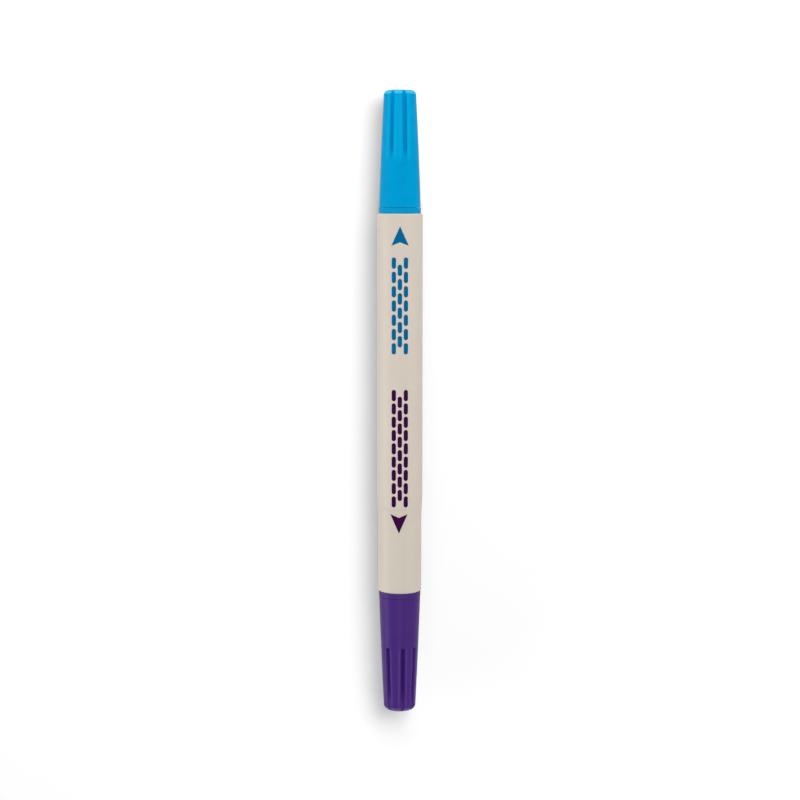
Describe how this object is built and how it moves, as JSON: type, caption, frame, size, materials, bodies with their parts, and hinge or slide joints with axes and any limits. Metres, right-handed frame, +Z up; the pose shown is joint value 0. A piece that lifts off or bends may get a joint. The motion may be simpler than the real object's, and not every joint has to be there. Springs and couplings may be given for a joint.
{
  "type": "fabric marker pen",
  "caption": "Slim round fabric marker pen lying on its side, with a fibre writing tip under a fluted pull-off cap at each end.",
  "frame": {"origin": "on the surface that the pen lies on, under the middle of its length", "axes": "+Y along the pen towards the end of the blue cap, +X across the pen, +Z up from the surface"},
  "size_m": [0.0102, 0.14, 0.0102],
  "materials": {
    "barrel_plastic": "satin",
    "blue_plastic": "satin",
    "purple_plastic": "satin",
    "natural_plastic": "satin",
    "blue_nib_fibre": "matte",
    "purple_nib_fibre": "matte",
    "blue_ink_fibre": "matte",
    "purple_ink_fibre": "matte",
    "wrap_film": "gloss"
  },
  "bodies": {
    "barrel": {"barrel_tube": "barrel_plastic", "barrel_tail": "barrel_plastic", "divider_plug": "natural_plastic", "blue_nib_holder": "blue_plastic", "blue_nib": "blue_nib_fibre", "blue_reservoir_core": "blue_ink_fibre", "blue_reservoir_film": "wrap_film", "purple_nib_holder": "purple_plastic", "purple_nib": "purple_nib_fibre", "purple_reservoir_core": "purple_ink_fibre", "purple_reservoir_film": "wrap_film"},
    "blue_cap": {"blue_cap_shell": "blue_plastic", "blue_cap_liner": "natural_plastic"},
    "purple_cap": {"purple_cap_shell": "purple_plastic", "purple_cap_liner": "natural_plastic"}
  },
  "joints": [
    {"name": "blue_cap_pull", "type": "slide", "parent": "barrel", "child": "blue_cap", "axis": [0, 1, 0], "range_m": [0, 0.03]},
    {"name": "purple_cap_pull", "type": "slide", "parent": "barrel", "child": "purple_cap", "axis": [0, -1, 0], "range_m": [0, 0.03]}
  ]
}
